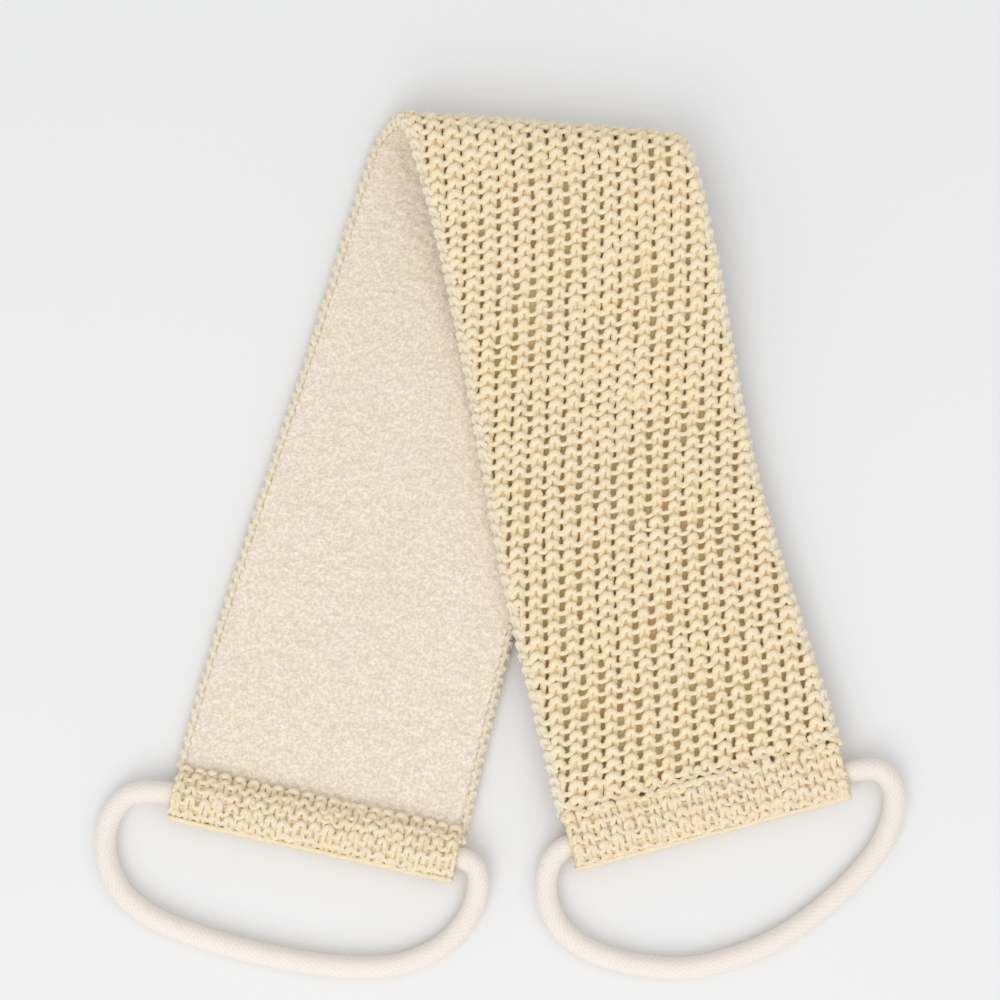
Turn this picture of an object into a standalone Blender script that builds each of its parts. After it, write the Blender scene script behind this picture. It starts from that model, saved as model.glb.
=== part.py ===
"""A knitted back scrubber: one long strap, knitted outside and terry inside, folded once and laid flat.

Metres, +Z up, standing on z = 0. The lower half of the strap lies on the floor with its terry face up, and
runs towards -Y and -X from the fold. The upper half comes back over it, knit face up, towards -Y and +X.
Each half ends in a hem casing, and a cord handle runs through each casing and is joined inside it.
"""

from math import cos, pi, radians, sin

import bmesh
import bpy
import numpy as np
from mathutils import Matrix, Vector

MM = 0.001

# The strap's layers, measured from the surface between its knit and its lining.
GAP = 0.3 * MM
KNIT_THICKNESS = 3.6 * MM
LINING_THICKNESS = 2.0 * MM
ROLL_THICKNESS = 2.6 * MM
ROLL_WIDTH = 4.4 * MM
ROLL_ROUNDING = ROLL_THICKNESS / 4
ROLL_ROUNDED_ANGLE = radians(50)
KNIT_LIFT = (GAP + KNIT_THICKNESS) / 2
LINING_LIFT = -(GAP + LINING_THICKNESS) / 2
ROLL_LIFT = -(GAP + ROLL_THICKNESS) / 2
KNIT_FACE = GAP / 2 + KNIT_THICKNESS
ROLL_FACE = GAP / 2 + ROLL_THICKNESS

# The fold: where the upper half starts, how far the fold line turns from +X, and the bend's radius.
UPPER_START = Vector((14.6 * MM, 112.8 * MM))
LOWER_SHIFT = -12.1 * MM
FOLD_TURN = radians(4.7)
FOLD_RADIUS = 8.0 * MM
FOLD_DOWN = Vector((-sin(FOLD_TURN), -cos(FOLD_TURN)))
FOLD_ACROSS = Vector((cos(FOLD_TURN), -sin(FOLD_TURN)))

# The two halves of the strap. Leans are degrees away from -Y, and widths are millimetres, at five places that
# are evenly spaced from the fold to the hem.
HALVES = {
    "lower": {
        "start": UPPER_START + LOWER_SHIFT * FOLD_ACROSS,
        "side": -1,
        "lean": (20.0, 17.0, 16.8, 15.6, 12.5),
        "width": (98.0, 94.7, 94.8, 96.9, 99.0),
        "length": 225.0 * MM,
        "hem_width": 97.0 * MM,
    },
    "upper": {
        "start": UPPER_START,
        "side": 1,
        "lean": (15.6, 10.7, 10.4, 15.3, 14.7),
        "width": (91.7, 91.3, 90.9, 93.8, 97.0),
        "length": 215.0 * MM,
        "hem_width": 95.0 * MM,
    },
}
STRAP_PARTS = ("lower", "fold", "upper")
LOWER_HEIGHT = KNIT_FACE
FOLD_TOP_HEIGHT = LOWER_HEIGHT + 2 * FOLD_RADIUS
UPPER_REST_HEIGHT = LOWER_HEIGHT + 2 * ROLL_FACE + GAP
SETTLE_LENGTH = 90.0 * MM

# The hem casings and the cords in them.
CASING_DEPTH = 18.0 * MM
CASING_HEIGHT = 13.6 * MM
CASING_ROUNDING = 3.2 * MM
CHANNEL_RADIUS = 4.8 * MM
CHANNEL_HEIGHT = CASING_HEIGHT / 2
CORD_RADIUS = 3.6 * MM
SLEEVE_BORE = 3.9 * MM
SLEEVE_RADIUS = 4.5 * MM
SLEEVE_LENGTH = 22.0 * MM
JOINT_DEPTH = 22.0 * MM
CORD_STEP = 7.0 * MM
THREAD_RADIUS = 0.7 * MM
STITCH_PITCH = 4.4 * MM
STITCH_REACH = 1.5 * MM
THREAD_INSET = 3.2 * MM

# Each handle's free stretch in millimetres, from the mouth beside the joint round to the other mouth.
LOWER_ROUTE = (
    (-11.6, -123.6, 6.2),
    (-10.0, -128.6, 5.2),
    (-11.2, -135.4, 4.2),
    (-15.6, -143.4, 3.7),
    (-23.4, -150.4, 3.7),
    (-37.0, -155.6, 3.7),
    (-57.0, -155.8, 3.7),
    (-84.0, -151.0, 3.7),
    (-110.0, -142.8, 3.7),
    (-123.8, -134.3, 3.7),
    (-129.9, -124.6, 3.8),
    (-131.4, -114.5, 4.4),
    (-128.9, -106.0, 5.4),
    (-122.7, -100.5, 6.3),
)
UPPER_ROUTE = (
    (14.2, -121.4, 6.2),
    (12.2, -127.0, 5.2),
    (12.4, -134.6, 4.2),
    (16.6, -143.6, 3.7),
    (26.0, -150.8, 3.7),
    (42.0, -155.6, 3.7),
    (61.0, -156.0, 3.7),
    (84.5, -148.4, 3.7),
    (104.5, -134.8, 3.7),
    (119.8, -118.6, 3.8),
    (125.0, -107.0, 4.6),
    (125.0, -98.0, 5.6),
    (119.8, -92.6, 6.4),
)
HANDLES = {
    "lower": {"route": LOWER_ROUTE, "joint_side": 1},
    "upper": {"route": UPPER_ROUTE, "joint_side": -1},
}

# The fineness of the plain solids.
ROWS = 20
FOLD_ROWS = 8
COLUMNS = 8
TRACE_STEPS = 80
TRACE_LEAD = 0.12
ROUTE_STEPS = 16
FOLD_LINE_TRIES = 6
ROLL_COLUMNS = 2
ROLL_BEVELS = 2
CASING_BEVELS = 3
ROUND_SIDES = 24
CORD_RESOLUTION = 3
THREAD_RESOLUTION = 1
CUTTER_OVERRUN = 1.2


def clear_scene():
    for obj in list(bpy.data.objects):
        bpy.data.objects.remove(obj)


def make_collection(name):
    collection = bpy.data.collections.new(name)
    bpy.context.scene.collection.children.link(collection)
    return collection


def make_material(name, colour, roughness, metallic=0.0):
    material = bpy.data.materials.new(name)
    material.use_nodes = True
    shader = material.node_tree.nodes["Principled BSDF"]
    shader.inputs["Base Color"].default_value = (*colour, 1.0)
    shader.inputs["Roughness"].default_value = roughness
    shader.inputs["Metallic"].default_value = metallic
    return material


def smooth_value(values, at):
    """The value at 0 to 1 along evenly spaced values, on a smooth curve through them."""
    last = len(values) - 1
    place = min(max(at, 0.0), 1.0) * last
    i = min(int(place), last - 1)
    t = place - i
    a, b = values[i], values[i + 1]
    before = values[i - 1] if i > 0 else 2 * a - b
    after = values[i + 2] if i + 2 <= last else 2 * b - a
    slope_a = (b - before) / 2
    slope_b = (after - a) / 2
    return (
        (2 * t**3 - 3 * t**2 + 1) * a
        + (t**3 - 2 * t**2 + t) * slope_a
        + (3 * t**2 - 2 * t**3) * b
        + (t**3 - t**2) * slope_b
    )


def trace_half(half):
    """Walks a half's centre line from a little before the fold line to its hem."""
    fractions = np.linspace(-TRACE_LEAD, 1.0, TRACE_STEPS + 1)
    headings = [half["side"] * radians(smooth_value(half["lean"], at)) for at in fractions]
    step = (fractions[1] - fractions[0]) * half["length"]
    points = [np.zeros(2)]
    for before, after in zip(headings, headings[1:]):
        heading = (before + after) / 2
        points.append(points[-1] + step * np.array((sin(heading), -cos(heading))))
    points = np.array(points)
    origin = [np.interp(0.0, fractions, points[:, axis]) for axis in (0, 1)]
    half["fractions"] = fractions
    half["headings"] = headings
    half["centres"] = points - origin + np.array(half["start"])


def on_centre_line(half, along):
    """At a length from the fold line: the centre line's plan place, the way it runs and the way across it."""
    fraction = along / half["length"]
    place = Vector([np.interp(fraction, half["fractions"], half["centres"][:, axis]) for axis in (0, 1)])
    heading = np.interp(fraction, half["fractions"], half["headings"])
    return place, Vector((sin(heading), -cos(heading))), Vector((cos(heading), sin(heading)))


def plan_place(half, along, share, inset):
    """A plan place at a share, -1 to 1, of the half width, drawn in towards the middle by the inset."""
    place, _, across = on_centre_line(half, along)
    half_width = smooth_value(half["width"], along / half["length"]) * MM / 2
    return place + (share * half_width - inset * (share > 0) + inset * (share < 0)) * across


def below_fold(place):
    return (place - UPPER_START).dot(FOLD_DOWN)


def fold_line_along(half, share, inset):
    """The length along a half at which a line of its width meets the fold line."""
    along = 0.0
    for _ in range(FOLD_LINE_TRIES):
        _, run, _ = on_centre_line(half, along)
        along -= below_fold(plan_place(half, along, share, inset)) / run.dot(FOLD_DOWN)
    return along


def upper_height(below):
    """The upper half comes down from the fold's top and then lies on the lower half."""
    share = min(max(below / SETTLE_LENGTH, 0.0), 1.0)
    return UPPER_REST_HEIGHT + (FOLD_TOP_HEIGHT - UPPER_REST_HEIGHT) * (1 + cos(pi * share)) / 2


def half_point(name, t, share, inset, lift):
    """A point of a half's layer: t runs from the fold line to the hem, and lift is towards the knit face."""
    half = HALVES[name]
    first = fold_line_along(half, share, inset) + GAP / 2
    last = half["length"] - GAP
    place = plan_place(half, first + t * (last - first), share, inset)
    if name == "lower":
        return Vector((*place, LOWER_HEIGHT - lift))
    return Vector((*place, upper_height(below_fold(place)) + lift))


def fold_point(t, share, inset, lift):
    """A point of the fold's layer: t runs round the bend from the lower half to the upper half."""
    ends = []
    for half in HALVES.values():
        along = fold_line_along(half, share, inset)
        ends.append(plan_place(half, along, share, inset))
    margin = GAP / 2 / FOLD_RADIUS
    angle = margin + t * (pi - 2 * margin)
    radius = FOLD_RADIUS + lift
    place = ends[0].lerp(ends[1], angle / pi) - radius * sin(angle) * FOLD_DOWN
    return Vector((*place, LOWER_HEIGHT + FOLD_RADIUS - radius * cos(angle)))


def layer_point(part, t, share, inset, lift):
    if part == "fold":
        return fold_point(t, share, inset, lift)
    return half_point(part, t, share, inset, lift)


def link(obj, material, collection):
    for other in list(obj.users_collection):
        other.objects.unlink(obj)
    collection.objects.link(obj)
    if material:
        obj.data.materials.clear()
        obj.data.materials.append(material)
    return obj


def make_layer(name, part, shares, insets, lift, thickness, columns, material, collection):
    """A closed block over one part of the strap: a grid, extruded, with both faces laid along the layer."""
    rows = FOLD_ROWS if part == "fold" else ROWS
    mesh = bpy.data.meshes.new(name)
    shape = bmesh.new()
    bmesh.ops.create_grid(shape, x_segments=columns, y_segments=rows, size=0.5)
    extruded = bmesh.ops.extrude_face_region(shape, geom=shape.faces[:])
    raised = [item for item in extruded["geom"] if isinstance(item, bmesh.types.BMVert)]
    bmesh.ops.translate(shape, vec=(0, 0, 1), verts=raised)
    for vertex in shape.verts:
        u = vertex.co.x + 0.5
        t = vertex.co.y + 0.5
        level = lift + (vertex.co.z - 0.5) * thickness
        left = layer_point(part, t, shares[0], insets[0], level)
        right = layer_point(part, t, shares[1], insets[1], level)
        vertex.co = left.lerp(right, u)
    bmesh.ops.recalc_face_normals(shape, faces=shape.faces[:])
    if shape.calc_volume(signed=True) < 0:
        bmesh.ops.reverse_faces(shape, faces=shape.faces[:])
    shape.to_mesh(mesh)
    shape.free()
    return link(bpy.data.objects.new(name, mesh), material, collection)


def make_strap_part(part, materials, collection):
    """The knit, its lining and the knit's two rolled edges, for one half or for the fold."""
    inner = ROLL_WIDTH + GAP
    full = (-1, 1)
    knit = make_layer(
        f"{part}_knit", part, full, (0, 0), KNIT_LIFT, KNIT_THICKNESS, COLUMNS, materials["knit"], collection
    )
    lining_name = f"{part}_terry_lining"
    lining = make_layer(
        lining_name, part, full, (inner, inner), LINING_LIFT, LINING_THICKNESS, COLUMNS,
        materials["terry"], collection,
    )
    pieces = [knit, lining]
    for side, share in (("left", -1), ("right", 1)):
        name = f"{part}_{side}_edge_roll"
        insets = (0, ROLL_WIDTH) if share < 0 else (ROLL_WIDTH, 0)
        ends = (share, share)
        roll = make_layer(
            name, part, ends, insets, ROLL_LIFT, ROLL_THICKNESS, ROLL_COLUMNS, materials["edge"], collection
        )
        rounding = roll.modifiers.new("rounding", "BEVEL")
        rounding.width = ROLL_ROUNDING
        rounding.segments = ROLL_BEVELS
        rounding.limit_method = "ANGLE"
        rounding.angle_limit = ROLL_ROUNDED_ANGLE
        pieces.append(roll)
    return pieces


def hem_frame(half):
    """The hem casing's middle, the way across the strap and the turn about +Z."""
    end, run, across = on_centre_line(half, half["length"])
    middle = end + CASING_DEPTH / 2 * run
    return Vector((*middle, CHANNEL_HEIGHT)), Vector((*across, 0.0)), half["headings"][-1]


def bore(obj, name, radius, length, place, turn, cutters):
    """Cuts a round hole along local X."""
    bpy.ops.mesh.primitive_cylinder_add(
        vertices=ROUND_SIDES, radius=radius, depth=length, location=place, rotation=(0, pi / 2, turn)
    )
    cutter = link(bpy.context.active_object, None, cutters)
    cutter.name = name
    cutter.hide_render = True
    cutter.display_type = "WIRE"
    cut = obj.modifiers.new("bore", "BOOLEAN")
    cut.operation = "DIFFERENCE"
    cut.object = cutter


def make_hem_casing(name, material, collection, cutters):
    """The strap's turned-back end: a soft block with the cord's channel through it."""
    half = HALVES[name]
    middle, _, turn = hem_frame(half)
    bpy.ops.mesh.primitive_cube_add(size=1, location=middle, rotation=(0, 0, turn))
    casing = link(bpy.context.active_object, material, collection)
    casing.name = f"{name}_hem_casing"
    casing.scale = (half["hem_width"], CASING_DEPTH, CASING_HEIGHT)
    bpy.ops.object.transform_apply(location=False, rotation=False, scale=True)
    rounding = casing.modifiers.new("rounding", "BEVEL")
    rounding.width = CASING_ROUNDING
    rounding.segments = CASING_BEVELS
    length = CUTTER_OVERRUN * half["hem_width"]
    bore(casing, f"{name}_channel", CHANNEL_RADIUS, length, middle, turn, cutters)
    return casing


def make_tube(name, points, radius, resolution, material, collection):
    curve = bpy.data.curves.new(name, "CURVE")
    curve.dimensions = "3D"
    curve.bevel_depth = radius
    curve.bevel_resolution = resolution
    curve.use_fill_caps = True
    spline = curve.splines.new("POLY")
    spline.points.add(len(points) - 1)
    for spot, place in zip(spline.points, points):
        spot.co = (*place, 1.0)
    return link(bpy.data.objects.new(name, curve), material, collection)


def make_hem_thread(name, material, collection):
    """The zigzag stitches that close the hem, lying on the face that is turned up."""
    half = HALVES[name]
    line = half["length"] - THREAD_INSET
    face = half_point(name, 1.0, 0.0, 0.0, 0.0).z
    face += KNIT_FACE if name == "upper" else ROLL_FACE
    place, run, across = on_centre_line(half, line)
    reach = half["hem_width"] / 2 - ROLL_WIDTH
    stitches = int(2 * reach / STITCH_PITCH) * 2
    points = []
    for i in range(stitches + 1):
        sideways = (2 * i / stitches - 1) * reach
        forward = STITCH_REACH * (-1) ** i
        spot = place + sideways * across + forward * run
        points.append(Vector((*spot, face + GAP + THREAD_RADIUS)))
    return make_tube(f"{name}_hem_thread", points, THREAD_RADIUS, THREAD_RESOLUTION, material, collection)


def smooth_route(points, step):
    """Places at an even step along a smooth curve through the points."""
    points = [Vector(p) for p in points]
    fine = []
    for i in range(len(points) - 1):
        a, b = points[i], points[i + 1]
        before = points[i - 1] if i > 0 else 2 * a - b
        after = points[i + 2] if i + 2 < len(points) else 2 * b - a
        span = (b - a).length
        slope_a = (b - before) * span / ((a - before).length + span)
        slope_b = (after - a) * span / ((after - b).length + span)
        for t in np.linspace(0, 1, ROUTE_STEPS, endpoint=False):
            fine.append(
                (2 * t**3 - 3 * t**2 + 1) * a
                + (t**3 - 2 * t**2 + t) * slope_a
                + (3 * t**2 - 2 * t**3) * b
                + (t**3 - t**2) * slope_b
            )
    fine = np.array(fine + [points[-1]])
    lengths = np.concatenate([[0], np.cumsum(np.linalg.norm(np.diff(fine, axis=0), axis=1))])
    count = round(lengths[-1] / step)
    at = np.linspace(0, lengths[-1], count + 1)
    return [Vector([np.interp(d, lengths, fine[:, axis]) for axis in range(3)]) for d in at]


def cord_points(name):
    """The cord's centre line, from its joint inside the hem, round the handle and back to the joint."""
    handle = HANDLES[name]
    middle, across, _ = hem_frame(HALVES[name])
    outward = handle["joint_side"] * across
    near_mouth = middle + HALVES[name]["hem_width"] / 2 * outward
    far_mouth = middle - HALVES[name]["hem_width"] / 2 * outward
    joint = near_mouth - JOINT_DEPTH * outward
    start = joint + GAP * outward
    end = joint - GAP * outward
    inside_near = [start, near_mouth - JOINT_DEPTH / 2 * outward, near_mouth - 2 * GAP * outward]
    inside_far = [far_mouth + 2 * GAP * outward, far_mouth + JOINT_DEPTH / 2 * outward, middle, end]
    free = [MM * Vector(p) for p in handle["route"]]
    return smooth_route(inside_near + free + inside_far, CORD_STEP)


def make_sleeve(name, material, collection, cutters):
    """The short tube that joins the cord's two ends inside the hem."""
    middle, across, turn = hem_frame(HALVES[name])
    outward = HANDLES[name]["joint_side"] * across
    place = middle + (HALVES[name]["hem_width"] / 2 - JOINT_DEPTH) * outward
    bpy.ops.mesh.primitive_cylinder_add(
        vertices=ROUND_SIDES,
        radius=SLEEVE_RADIUS,
        depth=SLEEVE_LENGTH,
        location=place,
        rotation=(0, pi / 2, turn),
    )
    sleeve = link(bpy.context.active_object, material, collection)
    sleeve.name = f"{name}_cord_sleeve"
    length = CUTTER_OVERRUN * SLEEVE_LENGTH
    bore(sleeve, f"{name}_sleeve_bore", SLEEVE_BORE, length, place, turn, cutters)
    return sleeve


def make_pivot(name, place, pieces, collection):
    """An empty on a joint's axis that carries the pieces that turn about it."""
    pivot = bpy.data.objects.new(name, None)
    pivot.location = place
    collection.objects.link(pivot)
    for piece in pieces:
        piece.parent = pivot
        piece.matrix_parent_inverse = Matrix.Translation(-Vector(place))
    return pivot


def fold_hinges():
    """The two hinge centres that open the fold while the strap keeps its length: a quarter turn each."""
    bend_middle = Vector((*(UPPER_START + LOWER_SHIFT / 2 * FOLD_ACROSS), LOWER_HEIGHT + FOLD_RADIUS))
    reach = pi / 4 * FOLD_RADIUS
    out = Vector((*-FOLD_DOWN, 0.0)) * reach
    up = Vector((0.0, 0.0, reach))
    return bend_middle + out - up, bend_middle + out + up


def main():
    clear_scene()
    collection = make_collection("back_scrubber")
    cutters = make_collection("cutters")
    materials = {
        "knit": make_material("straw_knit", (0.76, 0.62, 0.38), 0.9),
        "terry": make_material("cream_terry", (0.85, 0.74, 0.62), 0.95),
        "edge": make_material("rolled_edge", (0.78, 0.65, 0.42), 0.9),
        "hem": make_material("hem_knit", (0.78, 0.66, 0.45), 0.9),
        "thread": make_material("hem_thread", (0.80, 0.70, 0.50), 0.8),
        "cord": make_material("cotton_cord", (0.78, 0.70, 0.63), 0.8),
        "sleeve": make_material("joining_sleeve", (0.85, 0.85, 0.82), 0.5),
    }
    for half in HALVES.values():
        trace_half(half)
    pieces = {part: make_strap_part(part, materials, collection) for part in STRAP_PARTS}
    for name in HALVES:
        pieces[name].append(make_hem_casing(name, materials["hem"], collection, cutters))
        pieces[name].append(make_hem_thread(name, materials["thread"], collection))
    lower_hinge, upper_hinge = fold_hinges()
    fold_pivot = make_pivot("fold_lower_hinge", lower_hinge, pieces["fold"], collection)
    upper_pivot = make_pivot("fold_upper_hinge", upper_hinge, pieces["upper"], collection)
    upper_pivot.parent = fold_pivot
    upper_pivot.matrix_parent_inverse = Matrix.Translation(-lower_hinge)
    for name in HALVES:
        cord_name = f"{name}_handle_cord"
        points = cord_points(name)
        cord = make_tube(cord_name, points, CORD_RADIUS, CORD_RESOLUTION, materials["cord"], collection)
        sleeve = make_sleeve(name, materials["sleeve"], collection, cutters)
        middle, _, _ = hem_frame(HALVES[name])
        pivot = make_pivot(f"{name}_handle_pivot", middle, [cord, sleeve], collection)
        if name == "upper":
            pivot.parent = upper_pivot
            pivot.matrix_parent_inverse = Matrix.Translation(-upper_hinge)


main()
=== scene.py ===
"""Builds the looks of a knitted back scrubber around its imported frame.

Metres, +Z up, in the frame's own places. The strap's knit is made of its yarns, loop by loop, over a
napped terry lining. Each strap piece runs from a hem to the crest of the fold, where the piece from the
other half meets it.
"""

from math import cos, pi, radians, sin

import bpy
import numpy as np
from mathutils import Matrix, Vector


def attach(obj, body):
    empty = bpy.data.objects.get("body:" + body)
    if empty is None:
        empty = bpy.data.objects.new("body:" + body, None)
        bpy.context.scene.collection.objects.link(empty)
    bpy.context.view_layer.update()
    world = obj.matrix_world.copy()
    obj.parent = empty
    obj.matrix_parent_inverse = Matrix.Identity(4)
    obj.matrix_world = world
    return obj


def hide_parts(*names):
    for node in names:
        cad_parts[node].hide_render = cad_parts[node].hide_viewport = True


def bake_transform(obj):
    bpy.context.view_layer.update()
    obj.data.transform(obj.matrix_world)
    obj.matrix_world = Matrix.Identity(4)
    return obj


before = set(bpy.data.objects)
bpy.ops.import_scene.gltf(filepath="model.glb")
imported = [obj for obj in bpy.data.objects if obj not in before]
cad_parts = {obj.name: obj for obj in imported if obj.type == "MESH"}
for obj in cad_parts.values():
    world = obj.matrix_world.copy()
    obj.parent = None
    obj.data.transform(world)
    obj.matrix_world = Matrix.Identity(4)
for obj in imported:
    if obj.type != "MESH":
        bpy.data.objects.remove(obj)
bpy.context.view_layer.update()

MM = 0.001

# The strap's layers, measured from the surface between its knit and its lining.
GAP = 0.3 * MM
KNIT_THICKNESS = 3.6 * MM
LINING_THICKNESS = 2.0 * MM
ROLL_THICKNESS = 2.6 * MM
KNIT_FACE = GAP / 2 + KNIT_THICKNESS
ROLL_FACE = GAP / 2 + ROLL_THICKNESS
LINING_FACE = GAP / 2 + LINING_THICKNESS
KNIT_MIDDLE = (GAP + KNIT_THICKNESS) / 2

# The fold: where the upper half starts, how far the fold line turns from +X, and the bend's radius.
UPPER_START = np.array((14.6, 112.8)) * MM
LOWER_SHIFT = -12.1 * MM
FOLD_TURN = radians(4.7)
FOLD_RADIUS = 8.0 * MM
FOLD_DOWN = np.array((-sin(FOLD_TURN), -cos(FOLD_TURN)))
FOLD_ACROSS = np.array((cos(FOLD_TURN), -sin(FOLD_TURN)))

# The two halves of the strap. Leans are degrees away from -Y, and widths are millimetres, at five places that
# are evenly spaced from the fold to the hem.
HALVES = {
    "lower": {
        "start": UPPER_START + LOWER_SHIFT * FOLD_ACROSS,
        "side": -1,
        "lean": (20.0, 17.0, 16.8, 15.6, 12.5),
        "width": (98.0, 94.7, 94.8, 96.9, 99.0),
        "length": 225.0 * MM,
        "hem_width": 97.0 * MM,
    },
    "upper": {
        "start": UPPER_START,
        "side": 1,
        "lean": (15.6, 10.7, 10.4, 15.3, 14.7),
        "width": (91.7, 91.3, 90.9, 93.8, 97.0),
        "length": 215.0 * MM,
        "hem_width": 95.0 * MM,
    },
}
LOWER_HEIGHT = KNIT_FACE
FOLD_TOP_HEIGHT = LOWER_HEIGHT + 2 * FOLD_RADIUS
UPPER_REST_HEIGHT = LOWER_HEIGHT + 2 * ROLL_FACE + GAP
SETTLE_LENGTH = 90.0 * MM
TRACE_STEPS = 80
TRACE_LEAD = 0.12
FOLD_LINE_TRIES = 6

# The hem casings and the cords in them.
CASING_DEPTH = 18.0 * MM
CASING_HEIGHT = 13.6 * MM
CHANNEL_HEIGHT = CASING_HEIGHT / 2
CORD_RADIUS = 3.6 * MM
JOINT_DEPTH = 22.0 * MM

# Each handle's free stretch, from the mouth beside the joint round to the other mouth: x, y, z in
# millimetres.
LOWER_ROUTE = (
    (-11.6, -123.6, 6.2),
    (-10.0, -128.6, 5.2),
    (-11.2, -135.4, 4.2),
    (-15.6, -143.4, 3.7),
    (-23.4, -150.4, 3.7),
    (-37.0, -155.6, 3.7),
    (-57.0, -155.8, 3.7),
    (-84.0, -151.0, 3.7),
    (-110.0, -142.8, 3.7),
    (-123.8, -134.3, 3.7),
    (-129.9, -124.6, 3.8),
    (-131.4, -114.5, 4.4),
    (-128.9, -106.0, 5.4),
    (-122.7, -100.5, 6.3),
)
UPPER_ROUTE = (
    (14.2, -121.4, 6.2),
    (12.2, -127.0, 5.2),
    (12.4, -134.6, 4.2),
    (16.6, -143.6, 3.7),
    (26.0, -150.8, 3.7),
    (42.0, -155.6, 3.7),
    (61.0, -156.0, 3.7),
    (84.5, -148.4, 3.7),
    (104.5, -134.8, 3.7),
    (119.8, -118.6, 3.8),
    (125.0, -107.0, 4.6),
    (125.0, -98.0, 5.6),
    (119.8, -92.6, 6.4),
)
HANDLES = {
    "lower": {"route": LOWER_ROUTE, "joint_side": 1, "length": 0.290},
    "upper": {"route": UPPER_ROUTE, "joint_side": -1, "length": 0.282},
}

# The knit. Its courses run square across the upper half, and its columns lean away from the strap's run.
COLUMNS = 14.6
COLUMN_PITCH = 5.9 * MM
ROW_PITCH = 4.08 * MM
COLUMN_LEAN = radians(12.5)
LOOP_STEPS = 12
YARN_SIDES = 6
YARN_RADIUS = 1.22 * MM
YARN_UNEVENNESS = 0.10
ARC_THINNING = 0.26
LOOP_SWING = 0.12
LOOP_SPREAD = 0.045
LOOP_REACH = 3.1 * MM
LOOP_DEPTH = 0.95 * MM
COLUMN_YARN_LEVEL = -1.15 * MM
COLUMN_YARN_RADIUS = 0.95 * MM
COLUMN_YARN_UNEVENNESS = 0.15
# COLUMN_YARN_DEPTH: how deep the column yarns count for their painted shade behind the arcs.
COLUMN_YARN_DEPTH = -0.5

# How uneven the knit is: its open patches and loops, what an opening changes, and where it is tighter.
OPEN_PATCHES = 1.2
OPEN_LOOPS = 0.9
OPENNESS_LIMIT = 1.4
TIGHTENING = 1.1
OPENING_SPREAD = 0.055
OPENING_THINNING = 0.14
REACH_WANDER = 0.07
COLUMN_WANDER = 0.07
ROW_WANDER = 0.16
LIFT_WANDER = 0.20
EDGE_TIGHTENING = 0.5
HEM_TIGHTENING = 0.5
HEM_TIGHT_LENGTH = 9.0 * MM

# The camera, the floor and the two soft boxes: place, size and power.
AIM = Vector((-3.0 * MM, -2.2 * MM, 0.0))
CAMERA_ELEVATION = radians(80.0)
CAMERA_DISTANCE = 1.0
LENS = 108.0
SENSOR = 36.0
FLOOR_SIZE = 12.0
FLOOR_LEVEL = -0.2 * MM
SKY_COLOUR = (0.68, 0.685, 0.695, 1.0)
BACKDROP_COLOUR = (0.863, 0.863, 0.863, 1.0)
FLOOR_COLOUR = (0.86, 0.86, 0.86, 1.0)
SOFT_BOXES = (((-0.4, -1.2, 1.4), 1.3, 12.0), ((0.7, -0.2, 1.7), 1.4, 4.0))


# ---- Places on the strap ----


def smooth_values(values, at):
    """The values at 0 to 1 along evenly spaced values, on a smooth curve through them."""
    values = np.asarray(values, float)
    padded = np.concatenate([[2 * values[0] - values[1]], values, [2 * values[-1] - values[-2]]])
    last = len(values) - 1
    place = np.clip(at, 0.0, 1.0) * last
    i = np.minimum(place.astype(int), last - 1)
    t = place - i
    before, a, b, after = (padded[i + k] for k in range(4))
    slope_a = (b - before) / 2
    slope_b = (after - a) / 2
    return (
        (2 * t**3 - 3 * t**2 + 1) * a
        + (t**3 - 2 * t**2 + t) * slope_a
        + (3 * t**2 - 2 * t**3) * b
        + (t**3 - t**2) * slope_b
    )


def trace_half(half):
    """Walks a half's centre line from a little before the fold line to its hem."""
    fractions = np.linspace(-TRACE_LEAD, 1.0, TRACE_STEPS + 1)
    headings = half["side"] * np.radians(smooth_values(half["lean"], fractions))
    step = (fractions[1] - fractions[0]) * half["length"]
    middles = (headings[:-1] + headings[1:]) / 2
    steps = step * np.stack([np.sin(middles), -np.cos(middles)], 1)
    points = np.concatenate([[[0.0, 0.0]], np.cumsum(steps, axis=0)])
    origin = [np.interp(0.0, fractions, points[:, axis]) for axis in (0, 1)]
    half["fractions"] = fractions
    half["headings"] = headings
    half["centres"] = points - origin + half["start"]


def plan_place(half, along, share, offset):
    """A plan place at a share, -1 to 1, of the half width and an offset, and the way the strap runs there."""
    fraction = along / half["length"]
    fractions, centres = half["fractions"], half["centres"]
    place = np.stack([np.interp(fraction, fractions, centres[:, axis]) for axis in (0, 1)], -1)
    heading = np.interp(fraction, fractions, half["headings"])
    run = np.stack([np.sin(heading), -np.cos(heading)], -1)
    across = np.stack([np.cos(heading), np.sin(heading)], -1)
    past_end = np.maximum(along - half["length"], 0.0)
    half_width = smooth_values(half["width"], fraction) * MM / 2
    return place + (share * half_width + offset)[..., None] * across + past_end[..., None] * run, run


def fold_line_along(half, share, offset):
    """The length along a half at which a line of its width meets the fold line."""
    along = np.zeros(np.shape(share))
    for _ in range(FOLD_LINE_TRIES):
        place, run = plan_place(half, along, share, offset)
        along = along - ((place - UPPER_START) @ FOLD_DOWN) / (run @ FOLD_DOWN)
    return along


def upper_height(below):
    """The upper half comes down from the fold's top and then lies on the lower half."""
    share = np.clip(below / SETTLE_LENGTH, 0.0, 1.0)
    return UPPER_REST_HEIGHT + (FOLD_TOP_HEIGHT - UPPER_REST_HEIGHT) * (1 + np.cos(pi * share)) / 2


QUARTER = pi / 2 * (FOLD_RADIUS + KNIT_MIDDLE)
SEAM_AT = {"lower": 2.4 * MM, "upper": -2.2 * MM}
SEAM_DIP = 0.8 * MM
SEAM_DIP_REACH = 2.4 * MM


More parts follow.
